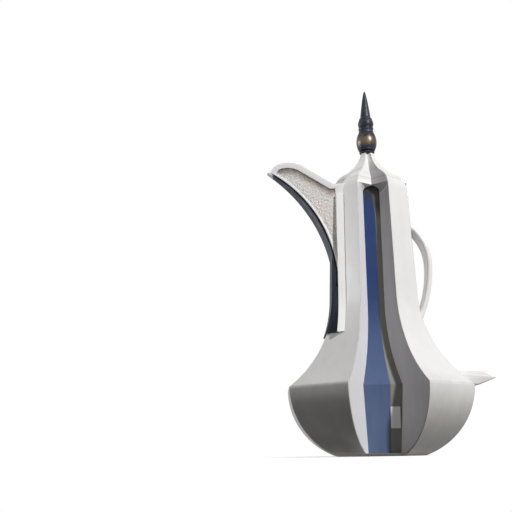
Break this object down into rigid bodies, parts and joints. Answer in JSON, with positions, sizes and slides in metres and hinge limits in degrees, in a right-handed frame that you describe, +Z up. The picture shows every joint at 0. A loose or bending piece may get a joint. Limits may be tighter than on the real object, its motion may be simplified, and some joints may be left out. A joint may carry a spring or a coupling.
{
  "type": "coffee pot",
  "caption": "Octagonal dallah coffee pot with a beaked spout, bow handle, hinged ogee lid and tall finial, its blue inner vessel showing through open slots in a white shell.",
  "frame": {"origin": "On the pot's vertical axis, on the underside of the foot.", "axes": "+Z up along the pot's axis, -X towards the spout, +X towards the handle, -Y towards the front slot."},
  "size_m": [0.2318, 0.186, 0.4],
  "materials": {
    "white_enamel": "satin white enamel on sheet metal",
    "white_trim": "bright white enamel",
    "blue_enamel": "deep blue enamel",
    "hammered_infill": "rough hammered pinkish grey",
    "dark_patina": "dark slate patina",
    "dark_bronze": "darkened, polished where it is touched",
    "bare_steel": "plain"
  },
  "bodies": {
    "pot": {"foot_plate": "white_enamel", "inner_vessel": "blue_enamel", "petal_front_left": "white_enamel", "petal_front_right": "white_enamel", "petal_back_left": "white_enamel", "petal_back_right": "white_enamel", "slot_web_front_left": "white_enamel", "slot_web_front_right": "white_enamel", "slot_web_back_left": "white_enamel", "slot_web_back_right": "white_enamel", "slot_head_front": "white_enamel", "slot_head_back": "white_enamel", "mouth_ring": "white_enamel", "blank_plaque": "white_trim", "spout_side_panel": "white_enamel", "spout_duct": "bare_steel", "strainer": "bare_steel", "spout_cheek_front": "white_enamel", "spout_cheek_back": "white_enamel", "spout_infill_front": "hammered_infill", "spout_infill_back": "hammered_infill", "spout_keel": "dark_patina", "spout_saddle": "dark_patina", "spout_flange_front": "white_trim", "spout_flange_back": "white_trim", "handle_bow": "white_enamel", "handle_screws": "bare_steel", "handle_side_panel": "white_enamel", "tilt_lug": "white_enamel", "hinge_leaf_body": "bare_steel", "hinge_pin": "bare_steel", "hinge_rivets": "bare_steel"},
    "lid": {"lid_shell": "white_enamel", "lid_plug": "bare_steel", "finial_nut": "bare_steel", "finial_stud": "bare_steel", "finial_collar": "dark_bronze", "finial_bulb": "dark_bronze", "finial_spool": "dark_bronze", "finial_bead": "dark_bronze", "finial_spike": "dark_bronze", "hinge_leaf_lid": "bare_steel"}
  },
  "joints": [
    {"name": "lid_hinge", "type": "hinge", "parent": "pot", "child": "lid", "pos_m": [0.03888, 0, 0.291], "axis": [0, 1, 0], "range_deg": [0, 100]}
  ]
}
